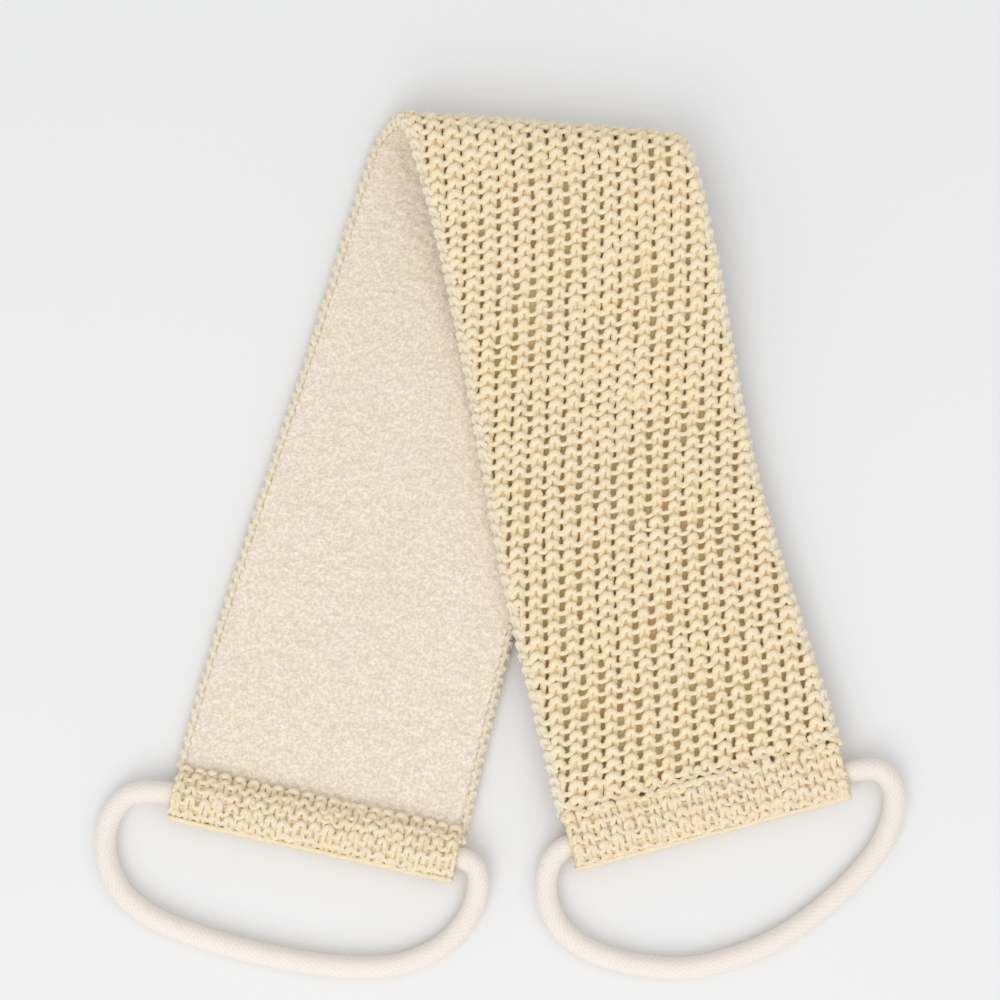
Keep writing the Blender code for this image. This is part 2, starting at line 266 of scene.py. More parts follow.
def strap_flat(name, along, share, offset, lift):
    """Points of a half beyond its fold line, along its centre line. Lift is towards the knit face."""
    place, _ = plan_place(HALVES[name], along, share, offset)
    if name == "lower":
        height = LOWER_HEIGHT - lift
    else:
        past_seam = along - HALVES[name]["length"] - SEAM_AT[name]
        dip = SEAM_DIP * np.exp(-((past_seam / SEAM_DIP_REACH) ** 2))
        height = upper_height((place - UPPER_START) @ FOLD_DOWN) + lift - dip
    return np.concatenate([place, height[..., None]], -1)


def fold_bend(angle, first, share, offset, lift):
    """Points of the bend: the angle is 0 at the lower half's fold line and pi at the upper half's."""
    low, high = (plan_place(half, first[name], share, offset)[0] for name, half in HALVES.items())
    radius = FOLD_RADIUS + lift
    place = low + (high - low) * (angle / pi)[..., None] - (radius * np.sin(angle))[..., None] * FOLD_DOWN
    height = LOWER_HEIGHT + FOLD_RADIUS - radius * np.cos(angle)
    return np.concatenate([place, height[..., None]], -1)


def strap_points(name, run, share, offset, lift):
    """Points of one half: run is metres from the crest of the fold, and lift is towards the knit face."""
    run, share, offset, lift = np.broadcast_arrays(run, share, offset, lift)
    first = {other: fold_line_along(half, share, offset) for other, half in HALVES.items()}
    t = np.maximum(run - QUARTER, 0.0) / HALVES[name]["length"]
    flat = strap_flat(name, first[name] + t * (HALVES[name]["length"] - first[name]), share, offset, lift)
    turn = pi / 2 * np.clip(run / QUARTER, 0.0, 1.0)
    bend = fold_bend(pi / 2 - turn if name == "lower" else pi / 2 + turn, first, share, offset, lift)
    return np.where((run < QUARTER)[..., None], bend, flat)


def past_fold_line(run, share, offset):
    """How far past the upper half's fold line a place is, where run is metres along the upper half."""
    return fold_line_along(HALVES["upper"], share, offset) - run


def fabric_points(run, share, offset, lift):
    """Points of the whole strap: where run is below zero it is round the fold and down the lower half."""
    run, share, offset, lift = np.broadcast_arrays(run, share, offset, lift)
    first = {name: fold_line_along(half, share, offset) for name, half in HALVES.items()}
    past = first["upper"] - run
    upper = strap_flat("upper", run, share, offset, lift)
    down = -run - 2 * QUARTER
    fade = 1 - np.clip(down / HALVES["lower"]["length"], 0.0, 1.0)
    lower = strap_flat("lower", down + (first["lower"] + first["upper"]) * fade, share, offset, lift)
    bend = fold_bend(pi * (1 - past / (2 * QUARTER)), first, share, offset, lift)
    return np.where((past < 0)[..., None], upper, np.where((past > 2 * QUARTER)[..., None], lower, bend))


NOISE_CELLS = 97


def smooth_noise(seed, x, y):
    """Smooth noise from -1 to 1, with about one swell for each unit of x and y."""
    grid = np.random.default_rng(seed).uniform(-1.0, 1.0, (NOISE_CELLS, NOISE_CELLS))
    i, j = np.floor(x).astype(int), np.floor(y).astype(int)
    u, v = x - i, y - j
    u, v = u * u * (3 - 2 * u), v * v * (3 - 2 * v)
    i, j = i % NOISE_CELLS, j % NOISE_CELLS
    next_i, next_j = (i + 1) % NOISE_CELLS, (j + 1) % NOISE_CELLS
    near = grid[i, j] * (1 - u) + grid[next_i, j] * u
    far = grid[i, next_j] * (1 - u) + grid[next_i, next_j] * u
    return near * (1 - v) + far * v


# ---- Meshes ----


TINT_STRETCH = 0.37
# RING_DEPTH sets how much darker the painted shade makes each yarn's side that faces into the knit.
RING_DEPTH = 0.45
OUTWARD_STEP = 0.1 * MM


def make_mesh(name, vertices, faces, attributes):
    """A smooth mesh object at the origin, with its attributes point by point."""
    mesh = bpy.data.meshes.new(name)
    mesh.from_pydata(vertices.reshape(-1, 3).tolist(), [], faces)
    for label, values in attributes.items():
        kind, field = ("FLOAT_VECTOR", "vector") if values.ndim > 1 else ("FLOAT", "value")
        attribute = mesh.attributes.new(label, kind, "POINT")
        attribute.data.foreach_set(field, values.astype(np.float32).ravel())
    mesh.shade_smooth()
    obj = bpy.data.objects.new(name, mesh)
    bpy.context.scene.collection.objects.link(obj)
    return obj


def yarn_rings(line, outward, radii, sides):
    """The rings of points round one yarn, and the length along it to each ring."""
    tangents = np.gradient(line, axis=0)
    tangents /= np.linalg.norm(tangents, axis=-1, keepdims=True)
    up = outward - (outward * tangents).sum(-1, keepdims=True) * tangents
    up /= np.linalg.norm(up, axis=-1, keepdims=True)
    beside = np.cross(tangents, up)
    angles = 2 * pi * np.arange(sides) / sides
    ring = up[:, None] * np.cos(angles)[:, None] + beside[:, None] * np.sin(angles)[:, None]
    steps = np.linalg.norm(np.diff(line, axis=0), axis=-1)
    return line[:, None] + radii[:, None, None] * ring, np.concatenate([[0.0], np.cumsum(steps)])


def tube_faces(first, rings, sides):
    """The faces of a closed tube whose points are numbered ring by ring."""
    spot = first + np.arange(rings * sides).reshape(rings, sides)
    turned = np.roll(spot, -1, axis=1)
    quads = np.stack([spot[:-1], turned[:-1], turned[1:], spot[1:]], -1).reshape(-1, 4).tolist()
    return quads + [spot[0, ::-1].tolist(), spot[-1].tolist()]


def sweep_yarns(name, yarns, sides=YARN_SIDES):
    """A mesh of round yarns, flattened where they rest on the floor.

    Each yarn has its line, the way outwards, its radii, tint and depth, point by point. The depth sets how
    much painted shade the yarn gets.
    """
    vertices, faces, places, tints, depths = [], [], [], [], []
    angles = 2 * pi * np.arange(sides) / sides
    first = 0
    for number, (line, outward, radii, tint, depth) in enumerate(yarns):
        rings, along = yarn_rings(line, outward, radii, sides)
        rings[..., 2] = np.maximum(rings[..., 2], 0.0)
        faces += tube_faces(first, len(line), sides)
        first += len(line) * sides
        vertices.append(rings.reshape(-1, 3))
        place = np.empty((len(line), sides, 3))
        place[..., 0] = along[:, None] + TINT_STRETCH * number
        place[..., 1] = radii[:, None] * np.cos(angles)
        place[..., 2] = radii[:, None] * np.sin(angles)
        places.append(place.reshape(-1, 3))
        tints.append(np.repeat(tint, sides))
        # The depth feeds the yarn's painted shade: darker on each yarn's side that faces into the knit.
        depths.append((depth[:, None] + RING_DEPTH * np.cos(angles)).ravel())
    attributes = {
        "yarn_place": np.concatenate(places),
        "tint": np.concatenate(tints),
        "depth": np.concatenate(depths),
    }
    return make_mesh(name, np.concatenate(vertices), faces, attributes)


def knit_loops(turn, row, seed, looseness):
    """Plain knit seen from its purl side: the loops' places in columns and rows, lift in metres and fullness.

    Low arcs are wide and open, and the high arcs between them are pairs of strands lying side by side.
    """
    angle = 2 * pi * turn
    openness = OPEN_PATCHES * smooth_noise(seed, turn / 2.6, row / 3.1)
    openness = openness + OPEN_LOOPS * smooth_noise(seed + 8, turn * 0.8, row * 0.8)
    openness = looseness * openness - TIGHTENING * (1 - looseness)
    openness = np.clip(openness, -OPENNESS_LIMIT, OPENNESS_LIMIT)
    spread = LOOP_SPREAD + OPENING_SPREAD * openness
    reach = LOOP_REACH / ROW_PITCH * (1 + REACH_WANDER * smooth_noise(seed + 2, turn * 0.9, row * 1.1))
    column = turn + LOOP_SWING * np.sin(2 * angle) + spread * np.sin(angle)
    column = column + COLUMN_WANDER * smooth_noise(seed + 3, turn * 1.7, row * 1.9)
    along = row - reach * np.cos(angle) + ROW_WANDER * smooth_noise(seed + 4, turn * 1.2, row * 0.9)
    lift = LOOP_DEPTH * (np.cos(2 * angle) + LIFT_WANDER * smooth_noise(seed + 5, turn * 2.1, row * 1.7))
    thinning = ARC_THINNING * np.clip(np.cos(angle), -0.3, 1.0)
    fullness = 1 - thinning - OPENING_THINNING * openness
    return column, along, lift, fullness


def yarn_looks(seed, turn, row, radius):
    """The thickness and tint of the yarn: both change slowly along it."""
    radii = radius * (1 + YARN_UNEVENNESS * smooth_noise(seed + 6, turn * 2.3, row * 2.1))
    return radii, smooth_noise(seed + 7, turn / 2.0, row * 1.3)


def runs_of(mask):
    """The first and last places of each unbroken run of a mask, each run reaching one place past its end."""
    edges = np.flatnonzero(np.diff(np.concatenate([[0], mask.astype(int), [0]])))
    return [(start, min(stop + 1, len(mask))) for start, stop in zip(edges[::2], edges[1::2])]


def sort_yarns(run, share, offset, lines, outward, radii, tint, rise, keep=True):
    """Cuts yarns where they cross the crest, and sorts the stretches by the half whose side they are on."""
    over = past_fold_line(run, share, offset) < QUARTER
    sorted_yarns = {"lower": [], "upper": []}
    for i in range(len(lines)):
        kept = np.broadcast_to(keep, over.shape)[i]
        for name, mask in (("upper", over[i] & kept), ("lower", ~over[i] & kept)):
            for start, stop in runs_of(mask):
                if stop - start > 1:
                    part = slice(start, stop)
                    yarn = (lines[i, part], outward[i, part], radii[i, part], tint[i, part], rise[i, part])
                    sorted_yarns[name].append(yarn)
    return sorted_yarns


STRAP_START = HALVES["upper"]["length"]
STRAP_END = -2 * QUARTER - HALVES["lower"]["length"]
ROWS = int((STRAP_START - STRAP_END) / ROW_PITCH)


def strap_knit(seed):
    """The whole strap's knit between its long edges, in two pieces that meet at the crest."""
    row = np.arange(ROWS)[:, None] + 0.0
    slant = sin(COLUMN_LEAN) / COLUMN_PITCH
    middle = STRAP_START - (row + 0.5) * ROW_PITCH
    count = round(COLUMNS * LOOP_STEPS) + 1
    turn = np.linspace(0.0, COLUMNS, count)[None] + slant * middle
    near_edge = np.abs(2 * (turn - slant * middle) / COLUMNS - 1) ** 4
    near_hem = np.exp(-row * ROW_PITCH / HEM_TIGHT_LENGTH)
    near_hem = near_hem + np.exp(-(ROWS - row) * ROW_PITCH / HEM_TIGHT_LENGTH)
    looseness = 1.0 - EDGE_TIGHTENING * near_edge - HEM_TIGHTENING * near_hem
    column, along, lift, fullness = knit_loops(turn, row, seed, looseness)
    run = STRAP_START - (along + 0.5) * ROW_PITCH
    share = np.clip(2 * (column - slant * run) / COLUMNS - 1, -1.02, 1.02)
    offset = -EDGE_REACH * share
    lines = fabric_points(run, share, offset, KNIT_MIDDLE + lift)
    outward = fabric_points(run, share, offset, KNIT_MIDDLE + lift + OUTWARD_STEP) - lines
    radii, tint = yarn_looks(seed, turn, row, YARN_RADIUS * fullness)
    yarns = sort_yarns(run, share, offset, lines, outward, radii, tint, lift / LOOP_DEPTH)
    behind = column_yarns(slant, seed + 10)
    return {name: sweep_yarns(f"{name}_knit_yarns", yarns[name] + behind[name]) for name in HALVES}


def column_yarns(slant, seed):
    """Straight yarns that run down the strap behind the high arcs' paired strands."""
    run = np.linspace(STRAP_START, STRAP_END, 2 * ROWS)[None]
    first, last = int(slant * STRAP_END) - 1, int(COLUMNS + slant * STRAP_START) + 1
    number = np.arange(first, last)[:, None]
    column = number + 0.5 + 0.08 * smooth_noise(seed, number, run)
    share = 2 * (column - slant * run) / COLUMNS - 1
    inside = np.abs(share) < 0.97
    share = np.clip(share, -1.0, 1.0)
    run = run + 0.0 * share
    offset = -EDGE_REACH * share
    height = KNIT_MIDDLE + COLUMN_YARN_LEVEL
    lines = fabric_points(run, share, offset, height)
    outward = fabric_points(run, share, offset, height + OUTWARD_STEP) - lines
    tint = smooth_noise(seed + 1, column, run / (6 * MM))
    unevenness = COLUMN_YARN_UNEVENNESS * smooth_noise(seed + 2, column, run / ROW_PITCH)
    radii = COLUMN_YARN_RADIUS * (1 + unevenness)
    depth = 0.0 * run + COLUMN_YARN_DEPTH
    return sort_yarns(run, share, offset, lines, outward, radii, tint, depth, inside)


EDGE_RADIUS = 1.7 * MM
EDGE_REACH = EDGE_RADIUS + 1.3 * MM
EDGE_YARN = 0.86 * MM
EDGE_COLUMNS = 1.5
EDGE_START = 0.9 * MM
EDGE_TURN = EDGE_START + pi * EDGE_RADIUS + 0.3 * MM
EDGE_SLANT = 0.7
EDGE_LOOSENESS = 0.3
EDGE_LOOP_LIFT = 0.6
EDGE_FILLERS = 6
FILLER_STEPS = 4 * ROWS
FILLER_RADIUS = 0.8 * MM
FILLER_LEVEL = -0.7 * MM


def edge_path(path, level):
    """Where the knit turns over a long edge: the way out from the turn's start, and the lift."""
    angle = np.clip(path / EDGE_RADIUS, 0.0, pi)
    before = np.minimum(path, 0.0)
    after = np.maximum(path - pi * EDGE_RADIUS, 0.0)
    radius = EDGE_RADIUS + level
    return before - after + radius * np.sin(angle), KNIT_MIDDLE - EDGE_RADIUS + radius * np.cos(angle)


def edge_yarns(side, run, path, level, radii, tint):
    """Yarns of one long edge's turn, cut and sorted at the crest."""
    out, height = edge_path(path, level)
    out2, height2 = edge_path(path, level + OUTWARD_STEP)
    share = side + 0.0 * run
    offset = side * (out - EDGE_REACH)
    lines = fabric_points(run, share, offset, height)
    outward = fabric_points(run, share, side * (out2 - EDGE_REACH), height2) - lines
    return sort_yarns(run, share, offset, lines, outward, radii, tint, 1.5 * level / LOOP_DEPTH)


def edge_rolls(edge, seed):
    """The knit's turned-over edge: small loops round straight yarns, in two pieces that meet at the crest."""
    side = -1 if edge == "left" else 1
    row = np.arange(ROWS)[:, None] + 0.0
    turn = np.linspace(0.0, EDGE_COLUMNS, round(EDGE_COLUMNS * LOOP_STEPS) + 1)[None] + 0.0 * row
    column, along, lift, fullness = knit_loops(turn, row, seed, EDGE_LOOSENESS)
    path = column / EDGE_COLUMNS * EDGE_TURN - EDGE_START
    along = along + EDGE_SLANT * path / EDGE_TURN
    run = STRAP_START - (along + 0.5) * ROW_PITCH
    radii, tint = yarn_looks(seed, turn, row, EDGE_YARN * fullness)
    loops = edge_yarns(side, run, path, EDGE_LOOP_LIFT * lift, radii, tint)
    across = np.linspace(0.1, 0.9, EDGE_FILLERS)[:, None] + np.zeros(FILLER_STEPS)
    run = np.linspace(STRAP_START, STRAP_END, FILLER_STEPS)[None] + 0.0 * across
    place = run / ROW_PITCH
    tint = smooth_noise(seed + 9, place, 9 * across)
    radii = FILLER_RADIUS * (1 + 0.1 * tint)
    path = across * EDGE_TURN - EDGE_START
    fillers = edge_yarns(side, run, path, FILLER_LEVEL + 0 * run, radii, tint)
    rolls = {name: loops[name] + fillers[name] for name in HALVES}
    return {name: sweep_yarns(f"{name}_{edge}_rolled_edge", rolls[name]) for name in HALVES}


def slab(name, front, back, attributes_front, attributes_back):
    """A closed sheet from two grids of points."""
    rows, columns = front.shape[:2]
    spot = np.arange(rows * columns).reshape(rows, columns)
    other = spot + rows * columns

    def quads(a):
        return np.stack([a[:-1, :-1], a[:-1, 1:], a[1:, 1:], a[1:, :-1]], -1).reshape(-1, 4)

    rim = np.concatenate([spot[0, :-1], spot[:-1, -1], spot[-1, :0:-1], spot[:0:-1, 0]])
    follow = np.roll(rim, -1)
    wall = np.stack([follow, rim, rim + rows * columns, follow + rows * columns], -1)
    faces = np.concatenate([quads(spot), quads(other)[:, ::-1], wall])
    vertices = np.concatenate([front.reshape(-1, 3), back.reshape(-1, 3)])
    corners = vertices[faces]
    volume = np.einsum("ij,ij->", corners[:, 0], np.cross(corners[:, 1], corners[:, 2]))
    volume += np.einsum("ij,ij->", corners[:, 0], np.cross(corners[:, 2], corners[:, 3]))
    if volume < 0:
        faces = faces[:, ::-1]
    attributes = {
        label: np.concatenate([attributes_front[label], attributes_back[label]]) for label in attributes_front
    }
    return make_mesh(name, vertices, faces.tolist(), attributes)


LINING_HALF_WIDTH = 46 * MM
LINING_CLEARANCE = 0.2 * MM
NAP_STEP = 0.72 * MM
NAP_HEIGHT = 0.38 * MM
NAP_ROOT = 0.25 * MM
NAP_SWELLS = ((1.0, 1.35 * MM), (0.3, 2.6 * MM), (0.2, 9 * MM))
WEAVE_HEIGHT = 0.12 * MM
WEAVE_PITCH = 1.6 * MM


def strap_lining(name, seed):
    """One half's terry lining: a thin sheet with a nap on its free face."""
    half = HALVES[name]
    length = QUARTER + half["length"]
    inset = EDGE_REACH + LINING_CLEARANCE
    rows = round(length / NAP_STEP)
    columns = round(2 * LINING_HALF_WIDTH / NAP_STEP)
    share = np.linspace(-1, 1, columns + 1)[None] + np.zeros((rows + 1, 1))
    run = np.linspace(0, length, rows + 1)[:, None] + np.zeros((1, columns + 1))
    x, y = share * LINING_HALF_WIDTH, run
    nap = 0.0 * x
    for number, (share_of_nap, size) in enumerate(NAP_SWELLS):
        nap += share_of_nap * smooth_noise(seed + number, x / size, y / size)
    offset = -inset * share
    front = strap_points(name, run, share, offset, -LINING_FACE + NAP_ROOT - NAP_HEIGHT * nap)
    weave = WEAVE_HEIGHT * smooth_noise(seed + len(NAP_SWELLS), x / WEAVE_PITCH, y / WEAVE_PITCH)
    back = strap_points(name, run, share, offset, -GAP / 2 - LINING_CLEARANCE + weave)
    flat_place = np.stack([x, y, np.zeros_like(x)], -1).reshape(-1, 3)
    ones = np.ones(x.size)
    return slab(
        f"{name}_terry",
        front,
        back,
        {"cloth_place": flat_place, "nap": nap.ravel(), "free_face": ones},
        {"cloth_place": flat_place, "nap": 0 * ones, "free_face": 0 * ones},
    )


# ---- Hems ----

HEM_DEPTH = 0.6
HEM_LOOSENESS = 0.6
HEM_YARN = 0.98 * MM
HEM_COLUMNS = 21.0
HEM_ROW_PITCH = 4.1 * MM
HEM_MARGIN = 1.2 * MM
HEM_TANGLE_ACROSS = 0.16
HEM_TANGLE_ALONG = 0.25
HEM_SKIN = 1.45 * MM
HEM_END_INSET = 0.2 * MM
HEM_ARC_STEPS = 13
HEM_SECTION_STEPS = 120
HEM_SMOOTHINGS = 4
HEM_FILLER_PITCH = 1.7 * MM
HEM_FILLER_LEVEL = -1.2 * MM
HEM_FILLER_RADIUS = 1.0 * MM
HEM_FILLER_STEPS = 60
HEM_BAND_AT = {"lower": 0.50, "upper": 0.47}
HEM_BAND_RADIUS = 0.8 * MM
HEM_BAND_LEVEL = 0.75 * MM
SEAMS = {
    "lower": {
        "stitches": 17,
        "swing": 1.5 * MM,
        "reach": 2.0 * MM,
        "radius": 1.1 * MM,
        "height": 7.3 * MM,
        "climb": 0.55 * MM,
    },
    "upper": {
        "stitches": 19,
        "swing": 1.2 * MM,
        "reach": 2.1 * MM,
        "radius": 0.98 * MM,
        "height": UPPER_REST_HEIGHT + KNIT_FACE - 1.3 * MM,
        "climb": 0.0,
    },
}
SEAM_MARGIN = 1.5 * MM
STITCH_STEPS = 14
STITCH_SIDES = 6
STITCH_ARCH = 0.5 * MM
STITCH_WANDER_ACROSS = 0.6 * MM
STITCH_WANDER_ALONG = 0.7 * MM


def hem_frame(half):
    """The strap's end, the way it runs and the way across it."""
    end, run = plan_place(half, np.array(half["length"]), np.array(0.0), np.array(0.0))
    return end, run, np.array((-run[1], run[0]))


def hem_profile(name):
    """The hem's section: the middle of its knit, from the seam over the cord, round the end and back."""
    round_radius = CASING_HEIGHT / 2 - HEM_SKIN
    centre = CASING_DEPTH - HEM_END_INSET - CASING_HEIGHT / 2
    angles = np.linspace(pi / 2, -pi / 2, HEM_ARC_STEPS)
    arc = [(centre + round_radius * cos(a), CHANNEL_HEIGHT + round_radius * sin(a)) for a in angles]
    top, bottom = arc[0][1], arc[-1][1]
    if name == "lower":
        lead = [(0.2 * MM, 7.4 * MM), (2.2 * MM, 8.4 * MM), (4.4 * MM, 10.6 * MM)]
        lead += [(7.4 * MM, top - 0.3 * MM)]
        tail = [(6.0 * MM, bottom), (0.0 * MM, bottom + 0.3 * MM)]
    else:
        middle = UPPER_REST_HEIGHT + KNIT_MIDDLE
        lead = [(0.0 * MM, middle), (3.2 * MM, middle + 0.5 * MM), (7.4 * MM, top - 0.05 * MM)]
        tail = [(6.4 * MM, bottom + 0.2 * MM), (2.0 * MM, bottom + 2.4 * MM), (-0.8 * MM, 5.4 * MM)]
    points = np.array(lead + arc + tail)
    lengths = np.concatenate([[0], np.cumsum(np.linalg.norm(np.diff(points, axis=0), axis=1))])
    return lengths, points


def hem_points(name, path, across, level):
    """Points of the hem's knit: path is metres along its section, and level is outwards."""
    end, run, sideways = hem_frame(HALVES[name])
    lengths, points = hem_profile(name)
    fine = np.linspace(0, lengths[-1], HEM_SECTION_STEPS)
    spots = np.stack([np.interp(fine, lengths, points[:, axis]) for axis in (0, 1)], 1)
    slopes = np.gradient(spots, axis=0)
    slopes /= np.linalg.norm(slopes, axis=1, keepdims=True)
    for _ in range(HEM_SMOOTHINGS):
        slopes[1:-1] = (slopes[:-2] + slopes[1:-1] + slopes[2:]) / 3
    slopes /= np.linalg.norm(slopes, axis=1, keepdims=True)
    forward, height, along, rise = (
        np.interp(path, fine, values) for values in (spots[:, 0], spots[:, 1], slopes[:, 0], slopes[:, 1])
    )
    forward = forward - rise * level
    height = height + along * level
    plan = end + forward[..., None] * run + across[..., None] * sideways
    return np.concatenate([plan, height[..., None]], -1)


def hem_knit(name, seed):
    """The hem's courses, all round the cord's channel."""
    lengths, _ = hem_profile(name)
    rows = round(lengths[-1] / HEM_ROW_PITCH)
    pitch = lengths[-1] / rows
    row = np.arange(rows)[:, None] + 0.0
    turn = np.linspace(0.0, HEM_COLUMNS, round(HEM_COLUMNS * LOOP_STEPS) + 1)[None] + 0.0 * row
    column, along, lift, fullness = knit_loops(turn, row, seed, HEM_LOOSENESS)
    along = 2 * row - along
    reach = HALVES[name]["hem_width"] / 2 - HEM_MARGIN
    column = column + HEM_TANGLE_ACROSS * smooth_noise(seed + 12, turn * 0.8, row + 0.0)
    across = np.clip(column / HEM_COLUMNS * 2 - 1, -1.0, 1.0) * reach
    along = along + 0.5 + HEM_TANGLE_ALONG * smooth_noise(seed + 13, turn * 0.6, row + 0.0)
    path = np.clip(along * pitch, 0.0, lengths[-1])
    lift = HEM_DEPTH * lift
    lines = hem_points(name, path, across, lift)
    outward = hem_points(name, path, across, lift + OUTWARD_STEP) - lines
    radii, tint = yarn_looks(seed, turn, row, HEM_YARN * fullness)
    yarns = list(zip(lines, outward, radii, tint, lift / LOOP_DEPTH))
    return sweep_yarns(f"{name}_hem_yarns", yarns + hem_fillers(name, reach, seed))


def hem_fillers(name, reach, seed):
    """Straight yarns laid across the hem behind its loops, and the smooth ones that round off its end."""
    lengths, _ = hem_profile(name)
    across = np.linspace(-reach, reach, HEM_FILLER_STEPS)
    flat = 0.0 * across
    places = np.linspace(0.5 * MM, lengths[-1] - 0.5 * MM, round(lengths[-1] / HEM_FILLER_PITCH))
    # Depth -1 gives the laid yarns deep painted shade behind the loops; 0.6 keeps the band at the end less
    # shaded.
    laid = [(place, HEM_FILLER_LEVEL, HEM_FILLER_RADIUS, -1.0) for place in places]
    for place in (-HEM_BAND_RADIUS, HEM_BAND_RADIUS):
        laid.append((lengths[-1] * HEM_BAND_AT[name] + place, HEM_BAND_LEVEL, HEM_BAND_RADIUS, 0.6))
    yarns = []
    for number, (place, level, radius, depth) in enumerate(laid):
        path = place + 0.25 * MM * smooth_noise(seed + 10, across / (9 * MM), flat + number)
        line = hem_points(name, path, across, flat + level)
        outward = hem_points(name, path, across, flat + level + OUTWARD_STEP) - line
        tint = smooth_noise(seed + 11, across / (6 * MM), flat + number)
        yarns.append((line, outward, radius * (1 + 0.08 * tint), tint, flat + depth))
    return yarns


def hem_stitches(name, seed):
    """The seam that closes the hem: a row of overcast loops, thicker on the lining than on the knit."""
    half = HALVES[name]
    look = SEAMS[name]
    reach = half["hem_width"] / 2 - SEAM_MARGIN
    end, run, sideways = hem_frame(half)
    turn = np.linspace(0, look["stitches"], look["stitches"] * STITCH_STEPS + 1)
    angle = 2 * pi * turn
    flat = 0.0 * turn
    across = (turn / look["stitches"] * 2 - 1) * reach - look["swing"] * np.sin(2 * angle)
    across = across + STITCH_WANDER_ACROSS * smooth_noise(seed + 3, turn * 1.1, flat)
    forward = SEAM_AT[name] + look["reach"] * np.cos(angle)
    forward = forward + STITCH_WANDER_ALONG * smooth_noise(seed, turn, flat)
    height = look["height"] + STITCH_ARCH * np.cos(2 * angle) + look["climb"] * np.cos(angle)
    plan = end + forward[:, None] * run + across[:, None] * sideways
    line = np.concatenate([plan, height[:, None]], 1)
    outward = 0 * line + np.array((0.0, 0.0, 1.0))
    radii = look["radius"] * (1 + 0.15 * smooth_noise(seed + 2, turn * 2, flat))
    tint = smooth_noise(seed + 1, turn, flat)
    # The depth follows the stitch's arch, so painted shade darkens the thread's low parts.
    thread = (line, outward, radii, tint, np.cos(2 * angle))
    return sweep_yarns(f"{name}_hem_seam", [thread], STITCH_SIDES)


# ---- Cords ----


SPAN_STEPS = 16


def smooth_route(points, step):
    """Places at an even step along a smooth curve through the points."""
    points = [Vector(p) for p in points]
    fine = []
    for i in range(len(points) - 1):
        a, b = points[i], points[i + 1]
        before = points[i - 1] if i > 0 else 2 * a - b
        after = points[i + 2] if i + 2 < len(points) else 2 * b - a
        span = (b - a).length
        slope_a = (b - before) * span / ((a - before).length + span)
        slope_b = (after - a) * span / ((after - b).length + span)
        for t in np.linspace(0, 1, SPAN_STEPS, endpoint=False):
            fine.append(
                (2 * t**3 - 3 * t**2 + 1) * a
                + (t**3 - 2 * t**2 + t) * slope_a
                + (3 * t**2 - 2 * t**3) * b
                + (t**3 - t**2) * slope_b
            )
    fine = np.array(fine + [points[-1]])
    lengths = np.concatenate([[0], np.cumsum(np.linalg.norm(np.diff(fine, axis=0), axis=1))])
    count = round(lengths[-1] / step)
    at = np.linspace(0, lengths[-1], count + 1)
    return np.stack([np.interp(at, lengths, fine[:, axis]) for axis in range(3)], 1)


def cord_route(name):
    """The cord's way: from its joint inside the hem, round the handle and back to the joint."""
    handle = HANDLES[name]
    half = HALVES[name]
    end, run, sideways = hem_frame(half)
    middle = np.array((*(end + CASING_DEPTH / 2 * run), CHANNEL_HEIGHT))
    outward = handle["joint_side"] * np.array((*sideways, 0.0))
    near_mouth = middle + half["hem_width"] / 2 * outward
    far_mouth = middle - half["hem_width"] / 2 * outward
    joint = near_mouth - JOINT_DEPTH * outward
    halfway = JOINT_DEPTH / 2 * outward
    way_out = [joint + GAP * outward, near_mouth - halfway, near_mouth - 2 * GAP * outward]
    free = [MM * np.array(p) for p in handle["route"]]
    way_back = [far_mouth + 2 * GAP * outward, far_mouth + halfway, middle, joint - GAP * outward]
    return way_out + free + way_back, near_mouth


CORD_STEP = 0.42 * MM
CORD_PATH_STEP = 1.0 * MM
CORD_SIDES = 28
BRAID_PITCH = 2.3 * MM
BRAID_STRANDS = 12
BRAID_HEIGHT = 0.07 * MM


def make_cord(name):
    """A braided elastic cord: one closed tube whose surface carries the cover's crossing strands."""
    route, near_mouth = cord_route(name)
    line = smooth_route(route, CORD_STEP)
    tangents = np.gradient(line, axis=0)
    tangents /= np.linalg.norm(tangents, axis=1, keepdims=True)
    up = np.array((0.0, 0.0, 1.0)) - tangents[:, 2:] * tangents
    up /= np.linalg.norm(up, axis=1, keepdims=True)
    beside = np.cross(tangents, up)
    angles = 2 * pi * np.arange(CORD_SIDES) / CORD_SIDES
    along = CORD_STEP * np.arange(len(line))[:, None]
    turn = BRAID_STRANDS / 2 * angles[None]
    wave = pi * along / BRAID_PITCH
    crossing = np.abs(np.sin(wave + turn)) * np.abs(np.sin(wave - turn))
    radius = CORD_RADIUS - BRAID_HEIGHT + 2 * BRAID_HEIGHT * crossing
    ring = up[:, None] * np.cos(angles)[:, None] + beside[:, None] * np.sin(angles)[:, None]
    vertices = line[:, None] + radius[..., None] * ring
    faces = tube_faces(0, len(line), CORD_SIDES)
    round_it = CORD_RADIUS * np.stack([np.cos(angles), np.sin(angles)]) + 0 * along[..., None]
    place = np.stack([along + 0 * angles, round_it[:, 0], round_it[:, 1]], -1)
    attributes = {"yarn_place": place.reshape(-1, 3), "braid": crossing.ravel()}
    cord = make_mesh(f"{name}_braided_cord", vertices, faces, attributes)
    smooth_route(route, CORD_PATH_STEP).tolist()
    return cord


# ---- Finishes ----


class Value:
    """A number socket that takes arithmetic: each operator adds the Math node that works it out."""

    def __init__(self, finish, socket):
        self.finish = finish
        self.socket = socket

    def join(self, operation, *values):
        return self.finish.node("ShaderNodeMath", {"operation": operation}, dict(enumerate(values)))["Value"]

    def __add__(self, other):
        return self.join("ADD", self, other)

    def __radd__(self, other):
        return self.join("ADD", other, self)

    def __rsub__(self, other):
        return self.join("SUBTRACT", other, self)

    def __mul__(self, other):
        return self.join("MULTIPLY", self, other)

    def __rmul__(self, other):
        return self.join("MULTIPLY", other, self)


